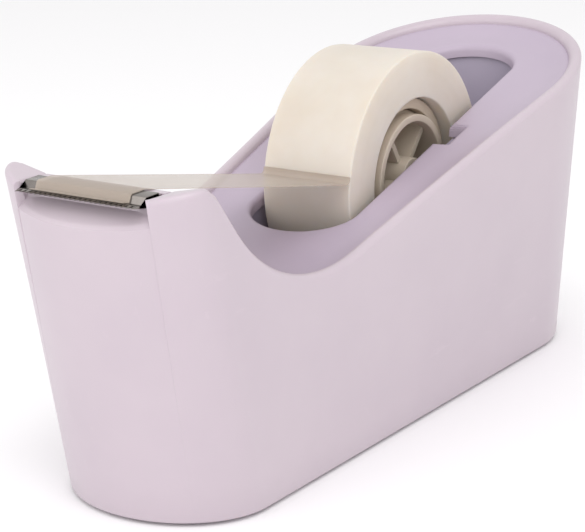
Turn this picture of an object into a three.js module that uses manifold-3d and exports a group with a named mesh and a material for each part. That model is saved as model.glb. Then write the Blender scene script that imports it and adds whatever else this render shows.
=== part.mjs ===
// Desk tape dispenser: a weighted tub-shaped body, a roll of tape on a hub, and a toothed blade on the nose.
// Millimetres, +Z up. The blade end points to -X. The origin is on the desk, under the middle of the body.
import * as THREE from "three";
import { mergeVertices } from "three/addons/utils/BufferGeometryUtils.js";
import Module from "manifold-3d";

const wasm = await Module();
wasm.setup();

// ---------- driving dimensions ----------
const GAP = 0.3; // between pieces that sit on or in each other
const LIFT = 0.6; // the body's bottom edge above the desk

// standard tape on its core; the body's width follows the tape's width
const ROLL = { x: 16, sink: 5.5, radius: 24, half: 9.5, bore: 15.2, edge: 0.4 };

// plan outline of the body at the desk and at TOP_Z: straight sides that flare, rounded ends
const TOP_Z = 60;
const SIDE_ROOM = { base: 9.7, top: 15.6 }; // from the tape's edge to the body's outside
const BASE_PLAN = {
  front: -64.8, rear: 74.2, half: ROLL.half + SIDE_ROOM.base, taper: 0, frontDepth: 16, rearDepth: 21.6,
};
const TOP_PLAN = {
  front: -73.9, rear: 70, half: ROLL.half + SIDE_ROOM.top, taper: 0.076, frontDepth: 10, rearDepth: 32.3,
};
const SIDE_STEPS = 30;
const FRONT_STEPS = 14;
const REAR_STEPS = 20;
const WALL = 2.4;
const WALL_STEPS = 4;
const RIM_ROUND_STEPS = 4;

// side profile of the rim: flat nose, steep fall, round dip, long slope to the back
const NOSE_Z = 58.1;
const NOSE_FILLET = 5;
const NOSE_FALL = THREE.MathUtils.degToRad(53);
const DIP = { x: -32.3, z: 37.8, radius: 30.8 };
const RIM_SLOPE = THREE.MathUtils.degToRad(17);

// solid nose under the blade; its top falls from the rim to the blade's seat
const NOSE = { rear: -63, thick: 10, fall: 1.6, fallWidth: 7.5 };
const BLADE_PLAY = 0.4; // beside the blade
const SCOOP = { bottom: 51.7, top: 54.1 };

// tray that closes the top of the body
const DECK_DROP = 2.5;
const TRAY_THICK = 2.2;
const LIP_THICK = 1.6;
const LIP_DROP = 0.8;

// slot for the roll, and the pocket below it
const SLOT_ROOM = { ahead: 8, behind: 19.2, beside: 1.5, below: 4 }; // around the roll
const SLOT_ENDS = { frontDepth: 8, rearDepth: 9 };
const POCKET_EXTRA = 0.6;
const POCKET_WALL = 1.8;
const POCKET_FLOOR_THICK = 2;

// core, hub and axle, all on the roll's axis
const CORE = { wall: 2.05, recess: 2.5 };
const HUB = { grip: 5.4, recess: 0.8, endStep: 0.6, wall: 1.4, web: 2, boss: 3.6, spokes: 5, spokeThick: 1.1 };
const AXLE = { radius: 1.7, beyondSlot: 2.9, chamfer: 0.4 };
const AXLE_PLAY = 0.25;
const CHANNEL_RISE = THREE.MathUtils.degToRad(49);
const CHANNEL_LENGTH = 26;
const CHANNEL_MOUTH = 3.3; // half its length in the deck
const BEARING = { ahead: 5.8, behind: 13.2, below: 5, wall: 1.6 };

// blade
const BLADE = {
  back: -65.8, front: -69, z: 56.35, thick: 0.5, beyondTape: 2.7, drop: 1.4, lean: 0.5, tabDepth: 2.6,
};
const TEETH = { reach: 2.6, pitch: 1.017, depth: 0.75 };

// free end of the tape
const STRIP = { thick: 0.25, above: 0.1, meetRise: 3, bend: 4, climb: 6 };

// base, pad and ballast
const BASE = { top: 4.2, recessTop: 2, edge: 3 };
const PAD = { thick: 1.7, inset: 0.4 };
const BALLAST = { bottom: 4.6, below: 0.7, blockHigh: 21, sideRoom: 5.7, screwRoom: 6.5, pocketRoom: 1.4 };

// screws: base screws stand on the base, pocket screws hang the pocket from the tray
const BASE_SCREW = { head: 2.7, headThick: 1.6, shank: 1.4, length: 9, seat: 4 };
const BASE_BOSS = { radius: 4.6, top: 6 };
const SCREW_SPREAD = 6.5;
const FRONT_SCREW_IN = 8.4; // behind the front of the base
const POST_RADIUS = 3.2;
const POCKET_SCREW = { head: 2.2, headThick: 1.3, shank: 1.1, length: 5.5 };
const TAB = { radius: 3, thick: 2, below: 7.4, besideSlot: 5.6, ahead: 15.8, behind: 28.2 };
const PILOT_PLAY = 0.15;

const COLOUR = {
  shell: 0xd9cdd9, tray: 0xb5a6bb, pocket: 0xa597ac, tape: 0xf0e8dd, core: 0xe6dccb, hub: 0xb7a894,
  steel: 0x8c8783, iron: 0x55524f, screw: 0xa9a9ac, base: 0x77707c, pad: 0x3a383c, film: 0xcdbfb2,
};

// ---------- solids ----------
// A closed three.js geometry as a manifold-3d solid.
function solid(geometry) {
  const g = (geometry.index ? geometry.toNonIndexed() : geometry).clone();
  g.deleteAttribute("normal");
  g.deleteAttribute("uv");
  const merged = mergeVertices(g, 1e-4);
  return new wasm.Manifold(new wasm.Mesh({
    numProp: 3,
    vertProperties: merged.attributes.position.array,
    triVerts: new Uint32Array(merged.index.array),
  }));
}

const join = (...parts) => parts.reduce((a, b) => a.add(b));
const cut = (body, ...tools) => tools.reduce((a, b) => a.subtract(b), body);

function shapeOf(points) {
  return new THREE.Shape(points.map(([a, b]) => new THREE.Vector2(a, b)));
}

// Plan outline [x, y] raised from z0 to z1.
function slab(points, z0, z1) {
  const g = new THREE.ExtrudeGeometry(shapeOf(points), { depth: z1 - z0, bevelEnabled: false });
  return solid(g.translate(0, 0, z0));
}

// Side outline [x, z] stretched from y = -half to y = half, or between two stated values.
function prism(points, half, low = -half) {
  const g = new THREE.ExtrudeGeometry(shapeOf(points), { depth: half - low, bevelEnabled: false });
  return solid(g.rotateX(Math.PI / 2).translate(0, half, 0));
}

function box(x0, x1, y0, y1, z0, z1) {
  const g = new THREE.BoxGeometry(x1 - x0, y1 - y0, z1 - z0);
  return solid(g.translate((x0 + x1) / 2, (y0 + y1) / 2, (z0 + z1) / 2));
}

function post(x, y, z0, z1, radius, steps = 20) {
  const g = new THREE.CylinderGeometry(radius, radius, z1 - z0, steps);
  return solid(g.rotateX(Math.PI / 2).translate(x, y, (z0 + z1) / 2));
}

// Cross outline [y, z] stretched from x0 to x1.
function bar(points, x0, x1) {
  const g = new THREE.ExtrudeGeometry(shapeOf(points), { depth: x1 - x0, bevelEnabled: false });
  return solid(g.rotateX(Math.PI / 2).rotateZ(Math.PI / 2).translate(x0, 0, 0));
}

// A body turned about the roll's axis from a profile of [radius, y].
function turned(profile, steps) {
  const g = new THREE.LatheGeometry(profile.map(([r, y]) => new THREE.Vector2(r, y)), steps);
  return solid(g.translate(ROLL.x, 0, axisZ));
}

// ---------- side profile of the rim ----------
const fallOut = [Math.sin(NOSE_FALL), Math.cos(NOSE_FALL)];
const dipCentre = [DIP.x, DIP.z + DIP.radius];
const filletZ = NOSE_Z - NOSE_FILLET;
const fallFoot = [dipCentre[0] - DIP.radius * fallOut[0], dipCentre[1] - DIP.radius * fallOut[1]];
const filletCentre = (() => {
  const start = [fallFoot[0] - NOSE_FILLET * fallOut[0], fallFoot[1] - NOSE_FILLET * fallOut[1]];
  return [start[0] - (filletZ - start[1]) / Math.tan(NOSE_FALL), filletZ];
})();

// Height of the rim's side profile at x, after an offset of d into the body.
function profileZ(x, d = 0) {
  const fillet = Math.max(NOSE_FILLET - d, 0.5);
  const dip = DIP.radius + d;
  if (x <= filletCentre[0]) return NOSE_Z - d;
  const filletEnd = filletCentre[0] + fillet * fallOut[0];
  if (x <= filletEnd) return filletCentre[1] + Math.sqrt(fillet ** 2 - (x - filletCentre[0]) ** 2);
  const fallEnd = dipCentre[0] - dip * fallOut[0];
  const dipTopZ = dipCentre[1] - dip * fallOut[1];
  if (x <= fallEnd) return dipTopZ + (fallEnd - x) * Math.tan(NOSE_FALL);
  const slopeStart = dipCentre[0] + dip * Math.sin(RIM_SLOPE);
  if (x <= slopeStart) return dipCentre[1] - Math.sqrt(dip ** 2 - (x - dipCentre[0]) ** 2);
  return dipCentre[1] - dip * Math.cos(RIM_SLOPE) + (x - slopeStart) * Math.tan(RIM_SLOPE);
}

// Points [x, z] along the profile, close together where it curves.
function profilePoints(d) {
  const xs = [-90];
  const arc = (from, to, steps) => {
    for (let i = 0; i <= steps; i++) xs.push(THREE.MathUtils.lerp(from, to, i / steps));
  };
  arc(filletCentre[0], filletCentre[0] + Math.max(NOSE_FILLET - d, 0.5) * fallOut[0], 5);
  arc(dipCentre[0] - (DIP.radius + d) * fallOut[0], dipCentre[0] + (DIP.radius + d) * Math.sin(RIM_SLOPE), 20);
  xs.push(90);
  return xs.map((x) => [x, profileZ(x, d)]);
}

const deckZ = (x) => profileZ(x, DECK_DROP);
const underTray = (x) => profileZ(x, DECK_DROP + TRAY_THICK);
const axisZ = deckZ(ROLL.x) - ROLL.sink;
const floorZ = axisZ - ROLL.radius - SLOT_ROOM.below;

// Everything between two offsets of the profile, as a side outline.
const profileBand = (upper, lower) => [...profilePoints(lower), ...profilePoints(upper).reverse()];
const belowProfile = (d) => [[-90, -20], [90, -20], ...profilePoints(d).reverse()];

// ---------- plan outlines ----------
// An outline of straight sides and elliptic ends, counter-clockwise from the near front corner.
function planOutline(plan, inset) {
  const front = plan.front + inset;
  const rear = plan.rear - inset;
  const frontDepth = Math.max(plan.frontDepth - inset, 1);
  const rearDepth = Math.max(plan.rearDepth - inset, 1);
  const half = (x) => plan.half + plan.taper * x - inset;
  const points = [];
  const add = (x, share) => points.push([x, half(x) * share]);
  const sideX = (t) => THREE.MathUtils.lerp(front + frontDepth, rear - rearDepth, t);
  for (let i = 0; i < SIDE_STEPS; i++) add(sideX(i / SIDE_STEPS), -1);
  for (let i = 0; i < REAR_STEPS; i++) {
    const a = -Math.PI / 2 + (Math.PI * i) / REAR_STEPS;
    add(rear - rearDepth + rearDepth * Math.cos(a), Math.sin(a));
  }
  for (let i = 0; i < SIDE_STEPS; i++) add(sideX(1 - i / SIDE_STEPS), 1);
  for (let i = 0; i < FRONT_STEPS; i++) {
    const a = Math.PI / 2 + (Math.PI * i) / FRONT_STEPS;
    add(front + frontDepth + frontDepth * Math.cos(a), Math.sin(a));
  }
  return points;
}

// The flaring body's outline at height z, inset by a wall.
function bodyOutline(z, inset = 0) {
  const low = planOutline(BASE_PLAN, inset);
  const high = planOutline(TOP_PLAN, inset);
  return low.map((p, i) => [0, 1].map((k) => THREE.MathUtils.lerp(p[k], high[i][k], z / TOP_Z)));
}

// A closed surface through rings of points, each ring closed; the last ring joins the first, or both are capped.
function ringSurface(rings, capped) {
  const n = rings[0].length;
  const index = [];
  const last = capped ? rings.length - 1 : rings.length;
  for (let r = 0; r < last; r++) {
    for (let i = 0; i < n; i++) {
      const a = r * n + i;
      const b = r * n + ((i + 1) % n);
      const c = ((r + 1) % rings.length) * n + i;
      const d = ((r + 1) % rings.length) * n + ((i + 1) % n);
      index.push(a, b, d, a, d, c);
    }
  }
  if (capped) {
    const faces = THREE.ShapeUtils.triangulateShape(rings[0].map(([x, y]) => new THREE.Vector2(x, y)), []);
    const top = (rings.length - 1) * n;
    for (const [a, b, c] of faces) index.push(c, b, a, top + a, top + b, top + c);
  }
  const g = new THREE.BufferGeometry();
  g.setAttribute("position", new THREE.Float32BufferAttribute(rings.flat(2), 3));
  g.setIndex(index);
  return solid(g);
}

// The solid inside the flaring outline between two heights.
function bodySolid(inset, z0, z1) {
  const rings = [];
  for (let k = 0; k <= WALL_STEPS; k++) {
    const z = THREE.MathUtils.lerp(z0, z1, k / WALL_STEPS);
    rings.push(bodyOutline(z, inset).map(([x, y]) => [x, y, z]));
  }
  return ringSurface(rings, true);
}

// ---------- the body's outer shell ----------
const bladeHalf = ROLL.half + BLADE.beyondTape;
const cutHalf = bladeHalf + BLADE_PLAY;
const scoopRear = BLADE.front + BLADE.thick + GAP;
const seatZ = BLADE.z - GAP;

function wallRing() {
  const rimRing = (inset, drop) => {
    let heights = bodyOutline(0).map(() => TOP_Z);
    for (let k = 0; k < 6; k++) heights = heights.map((z, i) => profileZ(bodyOutline(z, inset)[i][0]) - drop);
    return heights.map((z, i) => [...bodyOutline(z, inset)[i], z]);
  };
  const footRing = (inset) => bodyOutline(LIFT, inset).map(([x, y]) => [x, y, LIFT]);
  const between = (low, high, t) => low.map((p, i) => p.map((v, k) => THREE.MathUtils.lerp(v, high[i][k], t)));
  const rings = [];
  for (let k = WALL_STEPS - 1; k >= 0; k--) rings.push(between(footRing(WALL), rimRing(WALL, WALL / 2), k / WALL_STEPS));
  for (let k = 0; k < WALL_STEPS; k++) rings.push(between(footRing(0), rimRing(0, WALL / 2), k / WALL_STEPS));
  for (let k = 0; k <= RIM_ROUND_STEPS; k++) {
    const a = (Math.PI * k) / RIM_ROUND_STEPS;
    rings.push(rimRing((WALL / 2) * (1 - Math.cos(a)), (WALL / 2) * (1 - Math.sin(a))));
  }
  return ringSurface(rings, false);
}

function outerShell() {
  const wide = 60;
  const block = box(-90, NOSE.rear, -wide, wide, NOSE_Z - NOSE.thick, NOSE_Z)
    .intersect(bodySolid(WALL / 2, 0, 80)).intersect(prism(belowProfile(0), wide));
  const low = NOSE_Z - NOSE.fall;
  const high = cutHalf + NOSE.fallWidth;
  const aboveNose = bar([
    [-wide, NOSE_Z], [-high, NOSE_Z], [-cutHalf, low], [cutHalf, low], [high, NOSE_Z], [wide, NOSE_Z],
    [wide, 90], [-wide, 90],
  ], -90, NOSE.rear + GAP);
  const scoopX = THREE.MathUtils.lerp(BASE_PLAN.front, TOP_PLAN.front, SCOOP.bottom / TOP_Z);
  const bladeRear = BLADE.back + BLADE.thick + GAP;
  const scoop = prism([
    [-90, SCOOP.bottom], [scoopX, SCOOP.bottom], [scoopRear, SCOOP.top], [scoopRear, seatZ],
    [bladeRear, seatZ], [bladeRear, 90], [-90, 90],
  ], cutHalf);
  const slit = box(BLADE.back - GAP, bladeRear, -bladeHalf - GAP, bladeHalf + GAP,
    BLADE.z - BLADE.tabDepth - GAP, 90);
  return cut(join(wallRing(), block), aboveNose, scoop, slit);
}

// ---------- slot outline, shared by the tray and the pocket ----------
const slotFront = ROLL.x - ROLL.radius - SLOT_ROOM.ahead;
const slotRear = ROLL.x + ROLL.radius + SLOT_ROOM.behind;
const slotHalf = ROLL.half + SLOT_ROOM.beside;
const axleHalf = slotHalf + AXLE.beyondSlot;
const channelHalf = axleHalf + GAP;

function slotOutline(extra) {
  const plan = {
    front: slotFront - extra, rear: slotRear + extra, half: slotHalf + extra, taper: 0,
    frontDepth: SLOT_ENDS.frontDepth + extra, rearDepth: SLOT_ENDS.rearDepth + extra,
  };
  return planOutline(plan, 0);
}

const frontScrewX = BASE_PLAN.front + FRONT_SCREW_IN;
const rearScrewX = slotRear - SLOT_ENDS.rearDepth;
const frontPosts = [-1, 1].map((s) => [frontScrewX, s * SCREW_SPREAD]);
const rearPosts = [-1, 1].map((s) => [rearScrewX, s * SCREW_SPREAD]);
const tabY = slotHalf + TAB.besideSlot;
const pocketTabs = [ROLL.x - TAB.ahead, ROLL.x + TAB.behind].flatMap((x) => [[x, -tabY], [x, tabY]]);
const tabTop = (x) => underTray(x) - TAB.below + TAB.thick;
const screwTip = BASE_SCREW.seat + BASE_SCREW.length;

// ---------- tray: deck, lip, posts for the base screws, bosses for the pocket screws ----------
function wellTray() {
  const behindNose = box(NOSE.rear + GAP, 90, -60, 60, -5, 90);
  const room = bodySolid(WALL + GAP, -5, 80).intersect(behindNose);
  const inside = bodySolid(WALL + GAP + LIP_THICK, -5, 80);
  const deck = prism(profileBand(DECK_DROP, DECK_DROP + TRAY_THICK), 50).intersect(room);
  const lip = cut(prism(profileBand(LIP_DROP, DECK_DROP + TRAY_THICK / 2), 50).intersect(room), inside);
  const posts = frontPosts.map(([x, y]) => post(x, y, BASE_BOSS.top + GAP, underTray(x) + 1, POST_RADIUS));
  const bosses = pocketTabs.map(([x, y]) => post(x, y, tabTop(x) + GAP, underTray(x) + 1, TAB.radius));
  const pilots = [
    ...frontPosts.map(([x, y]) => post(x, y, 0, screwTip + 1, BASE_SCREW.shank + PILOT_PLAY)),
    ...pocketTabs.map(([x, y]) => post(x, y, 0, tabTop(x) - TAB.thick + POCKET_SCREW.length + 0.4,
      POCKET_SCREW.shank + PILOT_PLAY)),
  ];
  const mouthX = ROLL.x + ROLL.sink / (Math.tan(CHANNEL_RISE) - Math.tan(RIM_SLOPE));
  const notch = box(mouthX - CHANNEL_MOUTH, mouthX + CHANNEL_MOUTH, -channelHalf, channelHalf, axisZ - ROLL.sink, 90);
  const whole = join(deck, lip, ...posts, ...bosses).intersect(prism(belowProfile(LIP_DROP), 50));
  return cut(whole, ...pilots, slab(slotOutline(0), 0, 90), notch);
}

// ---------- pocket: tub below the slot with a bearing channel in each side ----------
function rollPocket() {
  const inner = slotOutline(POCKET_EXTRA);
  const outer = slotOutline(POCKET_EXTRA + POCKET_WALL);
  const below = prism(belowProfile(DECK_DROP + TRAY_THICK + GAP), 50);
  const bearings = [-1, 1].map((s) => {
    const near = s * slotHalf;
    const far = s * (channelHalf + BEARING.wall);
    return box(ROLL.x - BEARING.ahead, ROLL.x + BEARING.behind, Math.min(near, far), Math.max(near, far),
      axisZ - BEARING.below, 80);
  });
  const tabs = pocketTabs.map(([x, y]) => {
    const s = Math.sign(y);
    const z1 = tabTop(x);
    const arm = box(x - TAB.radius, x + TAB.radius, Math.min(s * slotHalf, y), Math.max(s * slotHalf, y),
      z1 - TAB.thick, z1);
    return join(post(x, y, z1 - TAB.thick, z1, TAB.radius), arm);
  });
  const feet = rearPosts.map(([x, y]) => post(x, y, BASE_BOSS.top + GAP, floorZ, POST_RADIUS));
  const body = join(slab(outer, floorZ - POCKET_FLOOR_THICK, 90), ...bearings).intersect(below);
  const pilots = rearPosts.map(([x, y]) => post(x, y, 0, screwTip + 0.4, BASE_SCREW.shank + PILOT_PLAY));
  const holes = pocketTabs.map(([x, y]) => post(x, y, 0, 90, POCKET_SCREW.shank + PILOT_PLAY));
  const whole = join(body, ...tabs, ...feet).intersect(bodySolid(WALL + GAP, 0, 90));
  return cut(whole, slab(inner, floorZ, 90), bearingChannel(), ...pilots, ...holes);
}

// The slanted channel that the axle drops down, from the notches in the deck to its seat.
function bearingChannel() {
  const r = AXLE.radius + AXLE_PLAY;
  const dir = [Math.cos(CHANNEL_RISE), Math.sin(CHANNEL_RISE)];
  const out = [-dir[1] * r, dir[0] * r];
  const seat = [];
  for (let i = 0; i <= 8; i++) {
    const a = CHANNEL_RISE + Math.PI / 2 + (Math.PI * i) / 8;
    seat.push([ROLL.x + r * Math.cos(a), axisZ + r * Math.sin(a)]);
  }
  const end = [ROLL.x + dir[0] * CHANNEL_LENGTH, axisZ + dir[1] * CHANNEL_LENGTH];
  const side = [[end[0] - out[0], end[1] - out[1]], [end[0] + out[0], end[1] + out[1]]];
  return prism([...seat, ...side], channelHalf);
}

// ---------- base, pad, ballast ----------
function screwHoles(spots, play) {
  return spots.flatMap(([x, y]) => [
    post(x, y, -1, BASE_SCREW.seat, BASE_SCREW.head + play),
    post(x, y, -1, 30, BASE_SCREW.shank + play),
  ]);
}

function basePlate() {
  const inset = WALL + GAP;
  const plate = slab(bodyOutline(BASE.top, inset + 0.1), LIFT, BASE.top);
  const bosses = [...frontPosts, ...rearPosts].map(([x, y]) => post(x, y, BASE.recessTop, BASE_BOSS.top,
    BASE_BOSS.radius));
  const recess = slab(bodyOutline(LIFT, inset + BASE.edge), -1, BASE.recessTop);
  const trimmed = join(plate, ...bosses).intersect(bodySolid(inset, 0, 20));
  return cut(trimmed, recess, ...screwHoles([...frontPosts, ...rearPosts], GAP));
}

function nonslipPad() {
  return slab(bodyOutline(LIFT, WALL + GAP + BASE.edge + PAD.inset), 0, PAD.thick);
}

function ballast() {
  const front = frontScrewX + BALLAST.screwRoom;
  const rear = rearScrewX - POST_RADIUS - BALLAST.screwRoom;
  const top = floorZ - POCKET_FLOOR_THICK - BALLAST.below;
  const blockRear = slotFront - POCKET_EXTRA - POCKET_WALL - BALLAST.pocketRoom;
  const blockTop = BALLAST.bottom + BALLAST.blockHigh;
  const side = [
    [front, BALLAST.bottom], [rear, BALLAST.bottom], [rear, top], [blockRear, top], [blockRear, blockTop],
    [front, blockTop],
  ];
  return prism(side, BASE_PLAN.half - BALLAST.sideRoom);
}

// ---------- blade ----------
const bladeLip = { x: BLADE.front - BLADE.lean, z: BLADE.z - BLADE.drop };

function cutterBlade() {
  const t = BLADE.thick;
  const top = BLADE.z + t;
  const side = [
    [BLADE.back, top], [BLADE.front, top], [bladeLip.x, bladeLip.z + t], [bladeLip.x - 0.4, bladeLip.z + t],
    [bladeLip.x - 0.4, bladeLip.z], [bladeLip.x + t, bladeLip.z], [BLADE.front + t, BLADE.z],
    [BLADE.back, BLADE.z], [BLADE.back, BLADE.z - BLADE.tabDepth], [BLADE.back + t, BLADE.z - BLADE.tabDepth],
    [BLADE.back + t, top],
  ];
  const tip = bladeLip.x - TEETH.reach;
  const zigzag = [[bladeLip.x, -bladeHalf], [tip + TEETH.depth, -bladeHalf]];
  const count = Math.round((2 * bladeHalf) / TEETH.pitch);
  const step = (2 * bladeHalf) / count;
  for (let i = 0; i < count; i++) {
    zigzag.push([tip, -bladeHalf + (i + 0.5) * step], [tip + TEETH.depth, -bladeHalf + (i + 1) * step]);
  }
  zigzag.push([bladeLip.x, bladeHalf]);
  return join(prism(side, bladeHalf), slab(zigzag.reverse(), bladeLip.z, bladeLip.z + t));
}

// ---------- roll ----------
const coreRadius = ROLL.bore - GAP;
const coreBore = coreRadius - CORE.wall;
const hubRadius = coreBore - GAP;
const coreHalf = ROLL.half - CORE.recess;
const hubHalf = ROLL.half - HUB.recess;

function tapeRoll() {
  const { radius, half, bore, edge } = ROLL;
  return turned([
    [bore, -half + edge], [bore + edge, -half], [radius - edge, -half], [radius, -half + edge],
    [radius, half - edge], [radius - edge, half], [bore + edge, half], [bore, half - edge],
    [bore, -half + edge],
  ], 80);
}

function tapeCore() {
  return turned([
    [coreBore, -coreHalf], [coreRadius, -coreHalf], [coreRadius, coreHalf], [coreBore, coreHalf],
    [coreBore, -coreHalf],
  ], 64);
}

function hubSpool() {
  const end = hubRadius - HUB.endStep;
  const inner = end - HUB.wall;
  const bore = AXLE.radius + AXLE_PLAY;
  const shell = turned([
    [bore, -hubHalf], [HUB.boss, -hubHalf], [HUB.boss, -HUB.web / 2], [inner, -HUB.web / 2],
    [inner, -hubHalf], [end, -hubHalf], [end, -HUB.grip - HUB.endStep], [hubRadius, -HUB.grip],
    [hubRadius, HUB.grip], [end, HUB.grip + HUB.endStep], [end, hubHalf], [inner, hubHalf],
    [inner, HUB.web / 2], [HUB.boss, HUB.web / 2], [HUB.boss, hubHalf], [bore, hubHalf], [bore, -hubHalf],
  ], 48);
  const spokes = [];
  for (let i = 0; i < HUB.spokes; i++) {
    for (const s of [-1, 1]) {
      const gusset = [[HUB.boss - 1, 0], [inner + 0.5, 0], [inner + 0.5, 0.45 * hubHalf], [HUB.boss - 1, 0.9 * hubHalf]];
      const g = new THREE.ExtrudeGeometry(shapeOf(gusset), { depth: HUB.spokeThick, bevelEnabled: false });
      g.translate(0, 0, -HUB.spokeThick / 2);
      if (s < 0) g.rotateX(Math.PI);
      g.rotateY((2 * Math.PI * (i + 0.3)) / HUB.spokes);
      spokes.push(solid(g.translate(ROLL.x, 0, axisZ)));
    }
  }
  const bored = new THREE.CylinderGeometry(bore, bore, 4 * hubHalf, 48);
  return cut(join(shell, ...spokes), solid(bored.translate(ROLL.x, 0, axisZ)));
}

function axlePin() {
  const { radius, chamfer } = AXLE;
  const half = axleHalf;
  return turned([
    [0, -half], [radius - chamfer, -half], [radius, -half + chamfer], [radius, half - chamfer],
    [radius - chamfer, half], [0, half],
  ], 24);
}

// ---------- free end of the tape: off the roll, over the dip, down on the blade ----------
function stripPath() {
  const skin = ROLL.radius + GAP;
  const lay = BLADE.z + BLADE.thick + STRIP.above;
  const touch = Math.asin(STRIP.meetRise / skin);
  const onRoll = (a) => [ROLL.x - skin * Math.cos(a), axisZ + skin * Math.sin(a)];
  const peel = onRoll(touch);
  const points = [
    [bladeLip.x - TEETH.reach + TEETH.depth, bladeLip.z + BLADE.thick + STRIP.above],
    [bladeLip.x - 0.15, bladeLip.z + BLADE.thick + STRIP.above], [BLADE.front - 0.1, lay], [BLADE.back + 1, lay],
  ];
  const before = [peel[0] - STRIP.bend, THREE.MathUtils.lerp(peel[1], lay, STRIP.bend / (peel[0] - BLADE.back))];
  const after = onRoll(touch + STRIP.bend / skin);
  const bend = new THREE.QuadraticBezierCurve(...[before, peel, after].map((p) => new THREE.Vector2(...p)));
  bend.getPoints(6).forEach((p) => points.push(p.toArray()));
  for (let i = 1; i <= 3; i++) points.push(onRoll(touch + (STRIP.bend + (STRIP.climb * i) / 3) / skin));
  return points;
}

function tapeStrip() {
  const path = stripPath();
  const offset = path.map((p, i) => {
    const a = path[Math.max(i - 1, 0)];
    const b = path[Math.min(i + 1, path.length - 1)];
    const len = Math.hypot(b[0] - a[0], b[1] - a[1]);
    return [p[0] - ((b[1] - a[1]) / len) * STRIP.thick, p[1] + ((b[0] - a[0]) / len) * STRIP.thick];
  });
  return prism([...path, ...offset.reverse()], ROLL.half);
}

// ---------- screws, drawn with a cross recess in the head ----------
function screw(x, y, seat, { head, headThick, shank, length }) {
  const body = join(post(x, y, seat - headThick, seat, head), post(x, y, seat - headThick / 2, seat + length, shank, 12));
  const cross = [box(-0.7 * head, 0.7 * head, -0.35, 0.35, -1, 0.7), box(-0.35, 0.35, -0.7 * head, 0.7 * head, -1, 0.7)];
  return cut(body, ...cross.map((c) => c.translate(x, y, seat - headThick)));
}

// ---------- assembly ----------
const group = new THREE.Group();

function add(name, made, color, roughness, metalness = 0) {
  const m = made.getMesh();
  const g = new THREE.BufferGeometry();
  const xyz = new Float32Array(m.numVert * 3);
  for (let i = 0; i < m.numVert; i++) xyz.set(m.vertProperties.subarray(i * m.numProp, i * m.numProp + 3), i * 3);
  g.setAttribute("position", new THREE.BufferAttribute(xyz, 3));
  g.setIndex(new THREE.BufferAttribute(m.triVerts, 1));
  const mesh = new THREE.Mesh(g, new THREE.MeshStandardMaterial({ color, roughness, metalness }));
  mesh.name = name;
  group.add(mesh);
}

add("outer_shell", outerShell(), COLOUR.shell, 0.42);
add("well_tray", wellTray(), COLOUR.tray, 0.5);
add("roll_pocket", rollPocket(), COLOUR.pocket, 0.55);
add("base_plate", basePlate(), COLOUR.base, 0.6);
add("nonslip_pad", nonslipPad(), COLOUR.pad, 0.95);
add("ballast_weight", ballast(), COLOUR.iron, 0.7, 0.8);
add("cutter_blade", cutterBlade(), COLOUR.steel, 0.25, 1);
add("tape_strip", tapeStrip(), COLOUR.film, 0.45);
add("tape_roll", tapeRoll(), COLOUR.tape, 0.5);
add("tape_core", tapeCore(), COLOUR.core, 0.6);
add("hub_spool", hubSpool(), COLOUR.hub, 0.4);
add("axle_pin", axlePin(), COLOUR.steel, 0.3, 1);
[...frontPosts, ...rearPosts].forEach(([x, y], i) => {
  add("base_screw_" + (i + 1), screw(x, y, BASE_SCREW.seat, BASE_SCREW), COLOUR.screw, 0.35, 1);
});
pocketTabs.forEach(([x, y], i) => {
  add("pocket_screw_" + (i + 1), screw(x, y, tabTop(x) - TAB.thick - 0.1, POCKET_SCREW), COLOUR.screw, 0.35, 1);
});

export default group;
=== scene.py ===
import math
import bmesh
import bpy
from mathutils import Matrix, Vector


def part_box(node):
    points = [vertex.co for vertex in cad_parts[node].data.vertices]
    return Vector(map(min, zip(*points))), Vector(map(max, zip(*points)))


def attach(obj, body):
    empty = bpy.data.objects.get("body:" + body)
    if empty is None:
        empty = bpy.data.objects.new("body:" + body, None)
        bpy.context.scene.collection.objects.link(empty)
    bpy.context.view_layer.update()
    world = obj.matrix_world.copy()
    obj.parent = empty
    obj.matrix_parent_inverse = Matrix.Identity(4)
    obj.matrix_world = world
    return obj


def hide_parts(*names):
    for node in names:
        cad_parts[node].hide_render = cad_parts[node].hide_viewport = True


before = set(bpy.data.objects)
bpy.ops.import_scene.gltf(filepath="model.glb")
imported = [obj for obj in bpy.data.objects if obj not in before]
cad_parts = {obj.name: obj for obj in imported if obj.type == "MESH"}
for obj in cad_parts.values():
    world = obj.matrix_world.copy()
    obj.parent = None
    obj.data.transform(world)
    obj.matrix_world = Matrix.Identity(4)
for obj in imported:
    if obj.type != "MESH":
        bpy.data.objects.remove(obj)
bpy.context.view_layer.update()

mm = 0.001
mergeDistance = 1e-6
solveSteps = {"rim": 8, "column": 40, "wall": 36, "rearTurn": 30, "rearHeight": 4}
print("frame loaded:", len(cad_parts), "solids")

def mix(a, b, t):
    return a + (b - a) * t

def smooth(a, b, v):
    t = min(max((v - a) / (b - a), 0), 1)
    return t * t * (3 - 2 * t)

def newMesh(name, verts, faces, material, angle=35):
    mesh = bpy.data.meshes.new(name)
    mesh.from_pydata([Vector(v) * mm for v in verts], [], faces)
    mesh.materials.append(material)
    tidyMesh(mesh, angle)
    obj = bpy.data.objects.new(name, mesh)
    bpy.context.scene.collection.objects.link(obj)
    return obj

def tidyMesh(mesh, angle=35):
    bm = bmesh.new()
    bm.from_mesh(mesh)
    bmesh.ops.remove_doubles(bm, verts=bm.verts, dist=mergeDistance)
    bmesh.ops.recalc_face_normals(bm, faces=bm.faces)
    bm.to_mesh(mesh)
    bm.free()
    mesh.shade_smooth()
    mesh.set_sharp_from_angle(angle=math.radians(angle))

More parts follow.
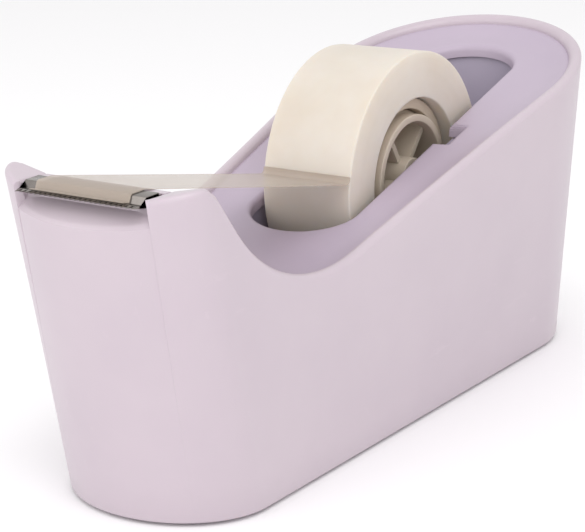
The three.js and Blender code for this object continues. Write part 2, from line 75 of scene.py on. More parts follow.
def gridFaces(rows, cols, wrapRows=False, wrapCols=True):
    faces = []
    for r in range(rows if wrapRows else rows - 1):
        for c in range(cols if wrapCols else cols - 1):
            r2 = (r + 1) % rows
            c2 = (c + 1) % cols
            faces.append((r * cols + c, r * cols + c2, r2 * cols + c2, r2 * cols + c))
    return faces

def addBevel(obj, width, segments=2, angle=30):
    bevel = obj.modifiers.new("softEdges", "BEVEL")
    bevel.width = width * mm
    bevel.segments = segments
    bevel.limit_method = "ANGLE"
    bevel.angle_limit = math.radians(angle)
    bevel.harden_normals = False

def applyModifiers(obj, angle=35):
    graph = bpy.context.evaluated_depsgraph_get()
    baked = bpy.data.meshes.new_from_object(obj.evaluated_get(graph))
    obj.modifiers.clear()
    old = obj.data
    obj.data = baked
    bpy.data.meshes.remove(old)
    baked.shade_smooth()
    baked.set_sharp_from_angle(angle=math.radians(angle))

def place(obj, body, nodes, slot):
    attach(obj, body)
    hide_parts(*nodes)

# a copy of a solid with merged corners and softly rounded edges
def softCopy(node, name, material, width):
    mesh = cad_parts[node].data.copy()
    mesh.materials.clear()
    mesh.materials.append(material)
    bm = bmesh.new()
    bm.from_mesh(mesh)
    bmesh.ops.remove_doubles(bm, verts=bm.verts, dist=mergeDistance)
    bmesh.ops.dissolve_limit(bm, angle_limit=math.radians(1), verts=bm.verts, edges=bm.edges)
    bm.to_mesh(mesh)
    bm.free()
    obj = bpy.data.objects.new(name, mesh)
    bpy.context.scene.collection.objects.link(obj)
    addBevel(obj, width)
    applyModifiers(obj)
    return obj

def groupTree(name, inputs, outputs):
    tree = bpy.data.node_groups.new(name, "ShaderNodeTree")
    for label, kind, value in inputs:
        socket = tree.interface.new_socket(label, in_out="INPUT", socket_type=kind)
        if value is not None:
            socket.default_value = value
    for label, kind in outputs:
        tree.interface.new_socket(label, in_out="OUTPUT", socket_type=kind)
    start = tree.nodes.new("NodeGroupInput")
    end = tree.nodes.new("NodeGroupOutput")
    return tree, start, end

def addNode(tree, kind, links=(), **values):
    node = tree.nodes.new(kind)
    for key, value in values.items():
        if hasattr(node, key):
            setattr(node, key, value)
        else:
            node.inputs[key].default_value = value
    for socket, source in links:
        tree.links.new(source, node.inputs[socket])
    return node

def mathNode(tree, op, a, b=None):
    node = tree.nodes.new("ShaderNodeMath")
    node.operation = op
    for i, v in enumerate((a, b)):
        if v is None:
            continue
        if isinstance(v, (int, float)):
            node.inputs[i].default_value = v
        else:
            tree.links.new(v, node.inputs[i])
    return node.outputs[0]

def rampNode(tree, source, stops):
    node = tree.nodes.new("ShaderNodeValToRGB")
    ramp = node.color_ramp
    ramp.elements[0].position, ramp.elements[1].position = stops[0][0], stops[-1][0]
    ramp.elements[0].color = (*[stops[0][1]] * 3, 1)
    ramp.elements[1].color = (*[stops[-1][1]] * 3, 1)
    for position, value in stops[1:-1]:
        ramp.elements.new(position).color = (value, value, value, 1)
    tree.links.new(source, node.inputs["Fac"])
    return node.outputs["Color"]

# fine moulded grain: a height for the bump, and slow changes of tone and gloss
def mouldedGrain():
    tree, start, end = groupTree(
        "mouldedGrain",
        [("Vector", "NodeSocketVector", None), ("Grain Scale", "NodeSocketFloat", 2600.0),
         ("Cloud Scale", "NodeSocketFloat", 35.0)],
        [("Height", "NodeSocketFloat"), ("Tone", "NodeSocketFloat"), ("Gloss", "NodeSocketFloat")],
    )
    grain = addNode(tree, "ShaderNodeTexNoise", [("Vector", start.outputs["Vector"]),
                    ("Scale", start.outputs["Grain Scale"])], Detail=3.0, Roughness=0.55)
    cells = addNode(tree, "ShaderNodeTexVoronoi", [("Vector", start.outputs["Vector"]),
                    ("Scale", start.outputs["Grain Scale"])], feature="SMOOTH_F1")
    cloud = addNode(tree, "ShaderNodeTexNoise", [("Vector", start.outputs["Vector"]),
                    ("Scale", start.outputs["Cloud Scale"])], Detail=4.0, Roughness=0.6)
    pebbles = mathNode(tree, "MULTIPLY", cells.outputs["Distance"], 0.6)
    height = mathNode(tree, "ADD", grain.outputs["Fac"], pebbles)
    tree.links.new(height, end.inputs["Height"])
    tree.links.new(rampNode(tree, cloud.outputs["Fac"], [(0.3, 0.0), (0.7, 1.0)]), end.inputs["Tone"])
    gloss = mathNode(tree, "ADD", mathNode(tree, "MULTIPLY", cloud.outputs["Fac"], 0.7),
                     mathNode(tree, "MULTIPLY", grain.outputs["Fac"], 0.3))
    tree.links.new(gloss, end.inputs["Gloss"])
    return tree

# faint hairline rubs from handling, as a mask
def handlingRubs():
    tree, start, end = groupTree(
        "handlingRubs",
        [("Vector", "NodeSocketVector", None), ("Scale", "NodeSocketFloat", 60.0),
         ("Amount", "NodeSocketFloat", 0.5)],
        [("Mask", "NodeSocketFloat"), ("Height", "NodeSocketFloat")],
    )
    stretch = addNode(tree, "ShaderNodeMapping", [("Vector", start.outputs["Vector"])])
    stretch.inputs["Scale"].default_value = (1, 9, 5)
    stretch.inputs["Rotation"].default_value = (0.3, 0.5, 0.2)
    lines = addNode(tree, "ShaderNodeTexNoise", [("Vector", stretch.outputs["Vector"]),
                    ("Scale", start.outputs["Scale"])], Detail=6.0, Roughness=0.75)
    patches = addNode(tree, "ShaderNodeTexNoise", [("Vector", start.outputs["Vector"])],
                      Scale=28.0, Detail=2.0)
    thin = rampNode(tree, lines.outputs["Fac"], [(0.6, 0.0), (0.66, 1.0), (0.7, 0.0)])
    here = rampNode(tree, patches.outputs["Fac"], [(0.5, 0.0), (0.65, 1.0)])
    mask = mathNode(tree, "MULTIPLY", mathNode(tree, "MULTIPLY", thin, here), start.outputs["Amount"])
    tree.links.new(mask, end.inputs["Mask"])
    tree.links.new(mathNode(tree, "MULTIPLY", mask, -1.0), end.inputs["Height"])
    return tree

# turns of wound film about an axis along Y: thin rings by radius
def woundRings():
    tree, start, end = groupTree(
        "woundRings",
        [("Vector", "NodeSocketVector", None), ("Centre X", "NodeSocketFloat", 0.0),
         ("Centre Z", "NodeSocketFloat", 0.0), ("Turns Per Metre", "NodeSocketFloat", 2500.0)],
        [("Tone", "NodeSocketFloat"), ("Height", "NodeSocketFloat")],
    )
    split = addNode(tree, "ShaderNodeSeparateXYZ", [("Vector", start.outputs["Vector"])])
    dx = mathNode(tree, "SUBTRACT", split.outputs["X"], start.outputs["Centre X"])
    dz = mathNode(tree, "SUBTRACT", split.outputs["Z"], start.outputs["Centre Z"])
    squares = mathNode(tree, "ADD", mathNode(tree, "MULTIPLY", dx, dx), mathNode(tree, "MULTIPLY", dz, dz))
    radius = mathNode(tree, "SQRT", squares)
    turns = mathNode(tree, "MULTIPLY", radius, start.outputs["Turns Per Metre"])
    rings = addNode(tree, "ShaderNodeTexNoise", [("W", turns)], noise_dimensions="1D", Scale=1.0, Detail=2.0)
    slow = addNode(tree, "ShaderNodeTexNoise", [("W", mathNode(tree, "MULTIPLY", turns, 0.12))],
                   noise_dimensions="1D", Scale=1.0, Detail=1.0)
    tone = mathNode(tree, "ADD", mathNode(tree, "MULTIPLY", rings.outputs["Fac"], 0.4),
                    mathNode(tree, "MULTIPLY", slow.outputs["Fac"], 0.6))
    tree.links.new(tone, end.inputs["Tone"])
    tree.links.new(rings.outputs["Fac"], end.inputs["Height"])
    return tree

grainGroup = mouldedGrain()
rubsGroup = handlingRubs()
ringsGroup = woundRings()

def linear(rgb):
    return tuple(((c / 255 + 0.055) / 1.055) ** 2.4 if c > 10 else c / 255 / 12.92 for c in rgb)

def startMaterial(name):
    mat = bpy.data.materials.new(name)
    mat.use_nodes = True
    tree = mat.node_tree
    shader = tree.nodes["Principled BSDF"]
    place = addNode(tree, "ShaderNodeTexCoord").outputs["Object"]
    return mat, tree, shader, place

def useGroup(tree, group, place, **values):
    node = tree.nodes.new("ShaderNodeGroup")
    node.node_tree = group
    tree.links.new(place, node.inputs["Vector"])
    for key, value in values.items():
        node.inputs[key].default_value = value
    return node

def colourMix(tree, factor, a, b):
    node = tree.nodes.new("ShaderNodeMix")
    node.data_type = "RGBA"
    tree.links.new(factor, node.inputs["Factor"])
    for socket, colour in ((6, a), (7, b)):
        if isinstance(colour, tuple):
            node.inputs[socket].default_value = (*colour, 1)
        else:
            tree.links.new(colour, node.inputs[socket])
    return node.outputs[2]

def mapRange(tree, source, low, high):
    node = addNode(tree, "ShaderNodeMapRange", [("Value", source)])
    node.inputs["To Min"].default_value = low
    node.inputs["To Max"].default_value = high
    return node.outputs["Result"]

def bumpInto(tree, shader, height, strength, distance):
    bump = addNode(tree, "ShaderNodeBump", [("Height", height)], Strength=strength, Distance=distance)
    tree.links.new(bump.outputs["Normal"], shader.inputs["Normal"])

# moulded plastic: two near tones, grain and a few rubs
def plastic(name, colour, shade, rough, bump=0.06, grain=2600.0, subsurface=0.0, coat=0.0):
    mat, tree, shader, place = startMaterial(name)
    skin = useGroup(tree, grainGroup, place, **{"Grain Scale": grain, "Cloud Scale": 30.0})
    rubs = useGroup(tree, rubsGroup, place, Scale=55.0, Amount=0.5)
    base = colourMix(tree, skin.outputs["Tone"], linear(colour), linear(shade))
    tree.links.new(colourMix(tree, rubs.outputs["Mask"], base, linear([min(c + 6, 255) for c in colour])),
                   shader.inputs["Base Color"])
    gloss = mapRange(tree, skin.outputs["Gloss"], rough - 0.06, rough + 0.06)
    worn = mathNode(tree, "ADD", gloss, mathNode(tree, "MULTIPLY", rubs.outputs["Mask"], 0.12))
    tree.links.new(worn, shader.inputs["Roughness"])
    height = mathNode(tree, "ADD", skin.outputs["Height"], rubs.outputs["Height"])
    bumpInto(tree, shader, height, bump, 0.00005)
    shader.inputs["Subsurface Weight"].default_value = subsurface
    shader.inputs["Subsurface Radius"].default_value = (0.004, 0.003, 0.004)
    shader.inputs["Subsurface Scale"].default_value = 1.0
    shader.inputs["Coat Weight"].default_value = coat
    shader.inputs["Coat Roughness"].default_value = 0.2
    return mat

def metal(name, colour, shade, rough, grain=1800.0, bump=0.1):
    mat, tree, shader, place = startMaterial(name)
    skin = useGroup(tree, grainGroup, place, **{"Grain Scale": grain, "Cloud Scale": 90.0})
    rubs = useGroup(tree, rubsGroup, place, Scale=120.0, Amount=0.8)
    base = colourMix(tree, skin.outputs["Tone"], linear(colour), linear(shade))
    tree.links.new(base, shader.inputs["Base Color"])
    gloss = mapRange(tree, skin.outputs["Gloss"], rough - 0.07, rough + 0.07)
    tree.links.new(mathNode(tree, "ADD", gloss, mathNode(tree, "MULTIPLY", rubs.outputs["Mask"], 0.15)),
                   shader.inputs["Roughness"])
    height = mathNode(tree, "ADD", skin.outputs["Height"], rubs.outputs["Height"])
    bumpInto(tree, shader, height, bump, 0.00004)
    shader.inputs["Metallic"].default_value = 1.0
    return mat

shellPlastic = plastic("shellPlastic", (197, 184, 192), (192, 179, 188), 0.34, subsurface=0.08, coat=0.1)
# the tray's lavender is darker than the shell's: partly its own tone, partly painted shade of the well
trayPlastic = plastic("trayPlastic", (186, 172, 188), (181, 167, 184), 0.4, bump=0.08)
# the pocket's plastic is the housing lavender made darker: painted shade of the slot it sits in
pocketShadedPlastic = plastic("pocketShadedPlastic", (168, 158, 176), (158, 150, 168), 0.5, bump=0.12, grain=2000.0)
basePlastic = plastic("basePlastic", (128, 120, 132), (118, 110, 124), 0.55, bump=0.15, grain=1500.0)
hubPlastic = plastic("hubPlastic", (196, 184, 168), (186, 172, 156), 0.36, bump=0.05, subsurface=0.2)
bladeSteel = metal("bladeSteel", (150, 144, 140), (128, 122, 118), 0.24)
screwSteel = metal("screwSteel", (176, 176, 178), (160, 160, 164), 0.32)
axleSteel = metal("axleSteel", (186, 184, 182), (170, 168, 166), 0.28)
ballastIron = metal("ballastIron", (96, 92, 88), (74, 70, 66), 0.62, grain=500.0, bump=0.6)
ballastIron.node_tree.nodes["Principled BSDF"].inputs["Metallic"].default_value = 0.8

# wound tape: milky, with faint rings on its sides
rollLow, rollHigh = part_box("tape_roll")
tapeRollSizes = {
    "centreX": (rollLow[0] + rollHigh[0]) / 2 / mm, "centreZ": (rollLow[2] + rollHigh[2]) / 2 / mm,
    "radius": (rollHigh[0] - rollLow[0]) / 2 / mm, "half": 9.5, "bore": 15.2, "edge": 0.35,
}

def tapeWindingMaterial():
    mat, tree, shader, place = startMaterial("tapeWinding")
    rings = useGroup(tree, ringsGroup, place, **{"Centre X": tapeRollSizes["centreX"] * mm,
                     "Centre Z": tapeRollSizes["centreZ"] * mm, "Turns Per Metre": 3200.0})
    skin = useGroup(tree, grainGroup, place, **{"Grain Scale": 900.0, "Cloud Scale": 45.0})
    side = colourMix(tree, rings.outputs["Tone"], linear((214, 203, 189)), linear((201, 189, 174)))
    tree.links.new(colourMix(tree, skin.outputs["Tone"], side, linear((216, 209, 200))),
                   shader.inputs["Base Color"])
    tree.links.new(mapRange(tree, skin.outputs["Gloss"], 0.36, 0.52), shader.inputs["Roughness"])
    bumpInto(tree, shader, rings.outputs["Height"], 0.12, 0.00006)
    shader.inputs["Subsurface Weight"].default_value = 0.35
    shader.inputs["Subsurface Radius"].default_value = (0.006, 0.0045, 0.003)
    shader.inputs["Subsurface Scale"].default_value = 1.0
    shader.inputs["Coat Weight"].default_value = 0.15
    shader.inputs["Coat Roughness"].default_value = 0.35
    return mat

def coreBoardMaterial():
    mat, tree, shader, place = startMaterial("coreBoard")
    rings = useGroup(tree, ringsGroup, place, **{"Centre X": tapeRollSizes["centreX"] * mm,
                     "Centre Z": tapeRollSizes["centreZ"] * mm, "Turns Per Metre": 1500.0})
    skin = useGroup(tree, grainGroup, place, **{"Grain Scale": 1200.0, "Cloud Scale": 160.0})
    # ply rings in two tones; the darker tone is partly painted shade of the recessed bore
    pliesAndShade = colourMix(tree, rings.outputs["Tone"], linear((214, 200, 182)), linear((190, 174, 154)))
    tree.links.new(colourMix(tree, skin.outputs["Tone"], pliesAndShade, linear((206, 192, 174))),
                   shader.inputs["Base Color"])
    tree.links.new(mapRange(tree, skin.outputs["Gloss"], 0.6, 0.85), shader.inputs["Roughness"])
    bumpInto(tree, shader, skin.outputs["Height"], 0.3, 0.00008)
    return mat

# a single layer of matte film: milky, partly seen through
def tapeFilmMaterial():
    mat, tree, shader, place = startMaterial("tapeFilm")
    skin = useGroup(tree, grainGroup, place, **{"Grain Scale": 1400.0, "Cloud Scale": 60.0})
    tree.links.new(colourMix(tree, skin.outputs["Tone"], linear((198, 184, 171)), linear((192, 177, 163))),
                   shader.inputs["Base Color"])
    tree.links.new(mapRange(tree, skin.outputs["Gloss"], 0.28, 0.42), shader.inputs["Roughness"])
    tree.links.new(mapRange(tree, skin.outputs["Tone"], 0.46, 0.52), shader.inputs["Alpha"])
    bumpInto(tree, shader, skin.outputs["Height"], 0.05, 0.00003)
    return mat

def padFoamMaterial():
    mat, tree, shader, place = startMaterial("padFoam")
    skin = useGroup(tree, grainGroup, place, **{"Grain Scale": 900.0, "Cloud Scale": 80.0})
    tree.links.new(colourMix(tree, skin.outputs["Tone"], linear((52, 50, 54)), linear((40, 39, 42))),
                   shader.inputs["Base Color"])
    tree.links.new(mapRange(tree, skin.outputs["Gloss"], 0.8, 0.95), shader.inputs["Roughness"])
    bumpInto(tree, shader, skin.outputs["Height"], 0.8, 0.0003)
    return mat

tapeWinding = tapeWindingMaterial()
coreBoard = coreBoardMaterial()
tapeFilm = tapeFilmMaterial()
padFoam = padFoamMaterial()
print("materials made:", len(bpy.data.materials))

# form of the housing, shared by the shell and the tray
form = {
    "topZ": 60.0, "lift": 0.6, "wall": 2.4,
    "low": {"front": -64.8, "rear": 74.2, "half": 19.2, "taper": 0.0,
            "frontDepth": 16.0, "rearDepth": 21.6},
    "high": {"front": -73.9, "rear": 70.0, "half": 25.1, "taper": 0.076,
             "frontDepth": 10.0, "rearDepth": 32.3},
    "noseZ": 58.1, "noseFillet": 5.0, "noseFall": math.radians(53),
    "dipX": -32.3, "dipZ": 37.8, "dipRadius": 30.8, "rimSlope": math.radians(17),
    "noseRear": -63.0, "noseThick": 10.0, "noseDrop": 1.6, "noseWidth": 7.5, "cutHalf": 12.6,
}

def noseFilletX():
    s, c = math.sin(form["noseFall"]), math.cos(form["noseFall"])
    footX = form["dipX"] - form["dipRadius"] * s - form["noseFillet"] * s
    footZ = form["dipZ"] + form["dipRadius"] * (1 - c) - form["noseFillet"] * c
    return footX - (form["noseZ"] - form["noseFillet"] - footZ) / math.tan(form["noseFall"])

filletX = noseFilletX()

# height of the rim's side profile, after an offset d into the body
def profileZ(x, d=0.0):
    s, c = math.sin(form["noseFall"]), math.cos(form["noseFall"])
    fillet = max(form["noseFillet"] - d, 0.5)
    dip = form["dipRadius"] + d
    dipTop = form["dipZ"] + form["dipRadius"]
    if x <= filletX:
        return form["noseZ"] - d
    if x <= filletX + fillet * s:
        return form["noseZ"] - form["noseFillet"] + math.sqrt(max(fillet ** 2 - (x - filletX) ** 2, 0))
    fallEnd = form["dipX"] - dip * s
    if x <= fallEnd:
        return dipTop - dip * c + (fallEnd - x) * math.tan(form["noseFall"])
    slopeStart = form["dipX"] + dip * math.sin(form["rimSlope"])
    if x <= slopeStart:
        return dipTop - math.sqrt(dip ** 2 - (x - form["dipX"]) ** 2)
    return dipTop - dip * math.cos(form["rimSlope"]) + (x - slopeStart) * math.tan(form["rimSlope"])

# a point of a plan outline: sections 0 near side, 1 rear end, 2 far side, 3 front end
def planPoint(plan, section, t, inset):
    front, rear = plan["front"] + inset, plan["rear"] - inset
    fd, rd = max(plan["frontDepth"] - inset, 1.0), max(plan["rearDepth"] - inset, 1.0)
    if section in (0, 2):
        x = mix(front + fd, rear - rd, t if section == 0 else 1 - t)
        share = -1 if section == 0 else 1
    elif section == 1:
        a = -math.pi / 2 + math.pi * t
        x, share = rear - rd + rd * math.cos(a), math.sin(a)
    else:
        a = math.pi / 2 + math.pi * t
        x, share = front + fd + fd * math.cos(a), math.sin(a)
    return x, (plan["half"] + plan["taper"] * x - inset) * share

def bodyPoint(col, z, inset):
    low = planPoint(form["low"], *col, inset)
    high = planPoint(form["high"], *col, inset)
    t = z / form["topZ"]
    return mix(low[0], high[0], t), mix(low[1], high[1], t)

# height of the rim at a point of the plan: over the nose it falls towards the blade
def rimHeight(x, y):
    z = profileZ(x)
    if x > form["noseRear"] + 3:
        return z
    t = min(max((abs(y) - form["cutHalf"]) / form["noseWidth"], 0), 1)
    return min(z, form["noseZ"] - form["noseDrop"] * (1 - t))

# the point on the wall at an inset, at the rim's height less a drop
def rimPoint(col, inset, drop):
    z = form["noseZ"]
    for _ in range(solveSteps["rim"]):
        z = rimHeight(*bodyPoint(col, z, inset)) - drop
    return (*bodyPoint(col, z, inset), z)

def columnsOf(counts):
    return [(s, i / n) for s, n in enumerate(counts) for i in range(n)]

# the front column whose rim lies at a given y
def frontColumnAt(y):
    low, high = 0.0, 1.0
    for _ in range(solveSteps["column"]):
        t = (low + high) / 2
        if rimPoint((3, t), form["wall"] / 2, 0)[1] > y:
            low = t
        else:
            high = t
    return 3, low

shellSizes = {
    "counts": (90, 72, 90, 110), "edge": 0.5, "rimSteps": 6, "wallSteps": 8,
    "nearEdge": (-1.0, -0.5, -0.25, -0.1, -0.03),
    "pastEdge": (0.03, 0.1, 0.2, 0.35, 0.6, 1.0, 1.6), "earRound": 0.35,
    "scoopLow": 51.5, "scoopRise": 0.9, "ledgeZ": 54.1, "lipRound": 0.3,
    "scoopRear": -68.2, "seatZ": 56.05, "seatRear": -65.0,
    "stations": (-71.4, -70.9, -70.3, -69.4, -68.6, -68.23, -68.17, -67.9, -67.1, -66.1, -65.03, -64.97,
                 -64.4, -63.7, -63.35, -63.15),
}

# height of the nose's top inside the rim, with the scoop and the blade's seat cut into it
def noseTop(x, y, frontX):
    s = shellSizes
    past = abs(y) - form["cutHalf"]
    spine = 0.3 * smooth(form["noseRear"] - 0.4, form["noseRear"], x)
    if past > 0:
        return rimHeight(x, y) - s["earRound"] * (1 - smooth(0, 0.5, past)) - spine
    if x < s["scoopRear"]:
        t = (x - frontX) / (s["scoopRear"] - frontX)
        lip = s["scoopLow"] + s["scoopRise"] * (y / form["cutHalf"]) ** 2
        return mix(lip, s["ledgeZ"], t) - s["lipRound"] * (1 - smooth(0, 0.5, x - frontX))
    return s["seatZ"] if x < s["seatRear"] else rimHeight(x, y) - spine

def shellColumn(col):
    s, wall, lift = shellSizes, form["wall"], form["lift"]
    edge, n, q = s["edge"], len(s["stations"]), s["rimSteps"]
    crest = rimPoint(col, wall / 2, 0)
    frontX = bodyPoint(col, s["scoopLow"], 0)[0]
    onNose = col[0] == 3 and crest[0] < form["noseRear"] - 0.5
    inScoop = onNose and abs(crest[1]) < form["cutHalf"]
    outer = []
    for k in range(q + 1):
        a = math.pi / 2 * k / q
        inset = wall / 2 * (1 - math.cos(a))
        point = rimPoint(col, inset, wall / 2 * (1 - math.sin(a)))
        if inScoop:
            x, y = bodyPoint(col, s["scoopLow"], inset)
            point = (x, y, noseTop(x, crest[1], frontX))
        outer.append(point)
    inner = []
    if onNose:
        start = outer[-1][0]
        for k, x in enumerate(s["stations"]):
            x = min(max(x, start + 0.02 * (k + 1)), form["noseRear"] - 0.01 * (n - k))
            y = mix(outer[-1][1], crest[1], min((x - start) / 0.5, 1))
            inner.append((x, y, noseTop(x, crest[1], frontX)))
        for drop in (0.35, 3.0, form["noseThick"]):
            inner.append((form["noseRear"], crest[1], rimHeight(form["noseRear"], crest[1]) - drop))
    else:
        for k in range(1, n + 1):
            a = math.pi / 2 * (1 + k / n)
            inner.append(rimPoint(col, wall / 2 * (1 - math.cos(a)), wall / 2 * (1 - math.sin(a))))
        inner += [rimPoint(col, wall, drop) for drop in (wall / 2 + 0.35, 3.0, form["noseThick"])]
    inner.append(rimPoint(col, wall, form["noseThick"] + 0.4))
    foot = [(wall, lift + edge), (wall - 0.2, lift), (edge, lift), (0.15, lift + 0.15), (0, lift + edge)]
    low = [(*bodyPoint(col, z, inset), z) for inset, z in foot]
    steps = s["wallSteps"]
    def between(a, b):
        return [tuple(mix(p, q, k / steps) for p, q in zip(a, b)) for k in range(1, steps)]
    return low + between(low[-1], outer[0]) + outer + inner + between(inner[-1], low[0])

def outerShell():
    cols = columnsOf(shellSizes["counts"])
    for past in shellSizes["nearEdge"] + shellSizes["pastEdge"]:
        cols += [frontColumnAt(side * (form["cutHalf"] + past)) for side in (-1, 1)]
    rows = [shellColumn(c) for c in sorted(cols)]
    verts = [p for row in rows for p in row]
    obj = newMesh("outerShell", verts, gridFaces(len(rows), len(rows[0]), wrapRows=True), shellPlastic, 50)
    place(obj, "housing", ["outer_shell"], "shell_plastic")

outerShell()
print("outer shell made")

traySizes = {
    "front": -62.7, "drop": 2.5, "thick": 2.2, "edge": 1.0,
    "across": 20, "frontSteps": 24, "sideSteps": 130, "rearSteps": 90,
    "slotFront": -16.0, "slotRear": 59.2, "slotHalf": 11.0, "frontDepth": 8.0, "rearDepth": 9.0,
    "notch": (19.19, 25.79), "notchHalf": 14.2, "tipShare": 0.25,
    "mouthSteps": (0.02, 0.06, 0.1, 0.28, 0.32, 0.6, 0.64, 0.98, 1.03),
    "bowl": ((2.2, 1.5), (2.7, 1.35), (3.3, 1.5), (4.2, 1.85), (5.4, 2.2), (6.6, 2.42), (7.9, 2.5)),
}

# half the body's width at a given x, at a height and an inset
def wallY(x, z, inset):
    low, high = -0.5, 1.5
    for _ in range(solveSteps["wall"]):
        t = (low + high) / 2
        col = (3, 1 + t) if t < 0 else ((0, t) if t < 1 else (1, t - 1))
        if bodyPoint(col, z, inset)[0] < x:
            low = t
        else:
            high = t
    return -bodyPoint(col, z, inset)[1]

# one line across the deck: from the wall at wallXY(inset, drop) to the slot at slotXY(extra)
def trayRow(wallXY, slotXY, flat):
    s = traySizes
    drop, thick, edge, n = s["drop"], s["thick"], s["edge"], s["across"]
    def wallPoint(inset, d):
        d = max(d, drop) if flat else d
        x, y = wallXY(inset, d)
        return x, y, profileZ(x, d)
    def slotPoint(extra, d):
        x, y = slotXY(extra)
        return x, y, profileZ(x, drop + d)
    def across(a, b, d):
        steps = [(mix(a[0], b[0], k / n), mix(a[1], b[1], k / n)) for k in range(1, n)]
        return [(x, y, profileZ(x, d)) for x, y in steps]
    top = [wallPoint(*p) for p in s["bowl"]]
    lip = [slotPoint(*p) for p in ((edge, 0), (0.62 * edge, 0.08 * edge), (0.3 * edge, 0.3 * edge),
                                   (0.08 * edge, 0.62 * edge), (0, edge), (0, thick))]
    last, rim = s["bowl"][-1][0], s["bowl"][1][0]
    under = [wallPoint(last, drop + thick), wallPoint(rim, drop + thick), wallPoint(rim, drop)]
    return top + across(top[-1], lip[0], drop) + lip + across(lip[-1], under[0], drop + thick) + under

def trayRows():
    s = traySizes
    arcFront, arcRear = s["slotFront"] + s["frontDepth"], s["slotRear"] - s["rearDepth"]
    inset = s["bowl"][-1][0]
    xs = [mix(s["front"], arcRear, k / s["sideSteps"]) for k in range(s["sideSteps"] + 1)]
    for mouth in s["notch"]:
        xs += [mouth + side * d for d in s["mouthSteps"] for side in (-1, 1)]
    xs.sort()
    def slotAngle(a, extra, front):
        depth = (s["frontDepth"] if front else s["rearDepth"]) + extra
        centre = arcFront if front else arcRear
        return centre + (-1 if front else 1) * depth * math.cos(a), (s["slotHalf"] + extra) * math.sin(a)
    def side(x, sign):
        def wallXY(inset, d):
            return x, sign * wallY(x, profileZ(x, d), inset)
        def slotXY(extra):
            if x < arcFront:
                u = (arcFront - x) / (arcFront - s["front"])
                a = math.pi / 2 * (1 - (1 - s["tipShare"]) * u)
                px, py = slotAngle(a, extra, True)
                return px, sign * py
            mouth = s["notch"][0] - extra <= x <= s["notch"][1] + extra
            return x, sign * ((s["notchHalf"] if mouth else s["slotHalf"]) + extra)
        return trayRow(wallXY, slotXY, False)
    def rear(turn):
        def wallXY(inset, d):
            z = profileZ(arcRear, d)
            start = wallY(arcRear, z, inset)
            low, high = 0.0, 0.5
            for _ in range(solveSteps["rearTurn"]):
                t = (low + high) / 2
                if -bodyPoint((1, t), z, inset)[1] > start * abs(math.cos(turn)):
                    low = t
                else:
                    high = t
            for _ in range(solveSteps["rearHeight"]):
                x, y = bodyPoint((1, low), z, inset)
                z = profileZ(x, d)
            return x, math.copysign(y, -math.cos(turn))
        def slotXY(extra):
            px, py = slotAngle(turn - math.pi / 2, extra, False)
            return px, py
        return trayRow(wallXY, slotXY, False)
    def front(u):
        half = wallY(s["front"], profileZ(s["front"], s["drop"]), inset)
        y = mix(half, -half, u)
        a = math.pi / 2 * s["tipShare"] * (1 - 2 * u)
        return trayRow(lambda inset, d: (s["front"], y), lambda extra: slotAngle(a, extra, True), True)
    rows = [side(x, -1) for x in xs]
    rows += [rear(math.pi * k / s["rearSteps"]) for k in range(1, s["rearSteps"])]
    rows += [side(x, 1) for x in reversed(xs)]
    return rows + [front(k / s["frontSteps"]) for k in range(s["frontSteps"] + 1)]

def innerTray():
    rows = trayRows()
    verts = [p for row in rows for p in row]
    obj = newMesh("innerTray", verts, gridFaces(len(rows), len(rows[0]), wrapRows=True), trayPlastic, 40)
    place(obj, "housing", ["well_tray"], "tray_plastic")

innerTray()
print("tray made")

# pieces that keep the solid's own form
softPieces = {
    "roll_pocket": ("rollPocket", pocketShadedPlastic, 0.25, "housing", "pocket_plastic"),
    "base_plate": ("basePlate", basePlastic, 0.3, "housing", "base_plastic"),
    "nonslip_pad": ("nonslipPad", padFoam, 0.25, "housing", "pad_foam"),
    "ballast_weight": ("ballastWeight", ballastIron, 0.8, "housing", "ballast_iron"),
    "axle_pin": ("axlePin", axleSteel, 0.08, "reel", "axle_steel"),
}
for node, (name, material, width, body, slot) in softPieces.items():
    place(softCopy(node, name, material, width), body, [node], slot)
for node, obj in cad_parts.items():
    if "screw" in node:
        obj.data.materials.clear()
        obj.data.materials.append(screwSteel)
print("pocket, base, pad, ballast, axle and screws made")

def turned(name, profile, steps, material, angle=40):
    cx, cz = tapeRollSizes["centreX"], tapeRollSizes["centreZ"]
    verts = []
    for i in range(steps):
        a = 2 * math.pi * i / steps
        verts += [(cx + r * math.cos(a), y, cz + r * math.sin(a)) for r, y in profile]
    return newMesh(name, verts, gridFaces(steps, len(profile), wrapRows=True), material, angle)

def roundedProfile(corners, radius, steps=4):
    points = []
    for i, (r, y) in enumerate(corners):
        before, after = Vector(corners[i - 1]), Vector(corners[(i + 1) % len(corners)])
        here = Vector((r, y))
        a, b = (before - here).normalized() * radius, (after - here).normalized() * radius
        for k in range(steps + 1):
            t = k / steps
            p = here + a * (1 - t) ** 2 + b * t ** 2
            points.append((p.x, p.y))
    return points

def tapeRoll():
    s = tapeRollSizes
    half = s["half"]
    corners = [(s["bore"], -half), (s["radius"], -half), (s["radius"], half), (s["bore"], half)]
    obj = turned("tapeRoll", roundedProfile(corners, s["edge"]), 192, tapeWinding)
    place(obj, "reel", ["tape_roll"], "tape_winding")

coreSizes = {"outer": 14.9, "bore": 12.85, "half": 7.0, "edge": 0.25}

def tapeCore():
    s = coreSizes
    half = s["half"]
    corners = [(s["bore"], -half), (s["outer"], -half), (s["outer"], half), (s["bore"], half)]
    obj = turned("tapeCore", roundedProfile(corners, s["edge"]), 128, coreBoard)
    place(obj, "reel", ["tape_core"], "core_board")

hubSizes = {"radius": 12.55, "end": 11.95, "grip": 5.4, "half": 8.7, "wall": 1.4, "web": 2.0, "boss": 3.6,
            "bore": 1.95, "edge": 0.22, "ribs": 5, "ribThick": 1.1, "ribSink": 0.3, "ribShare": 0.78}

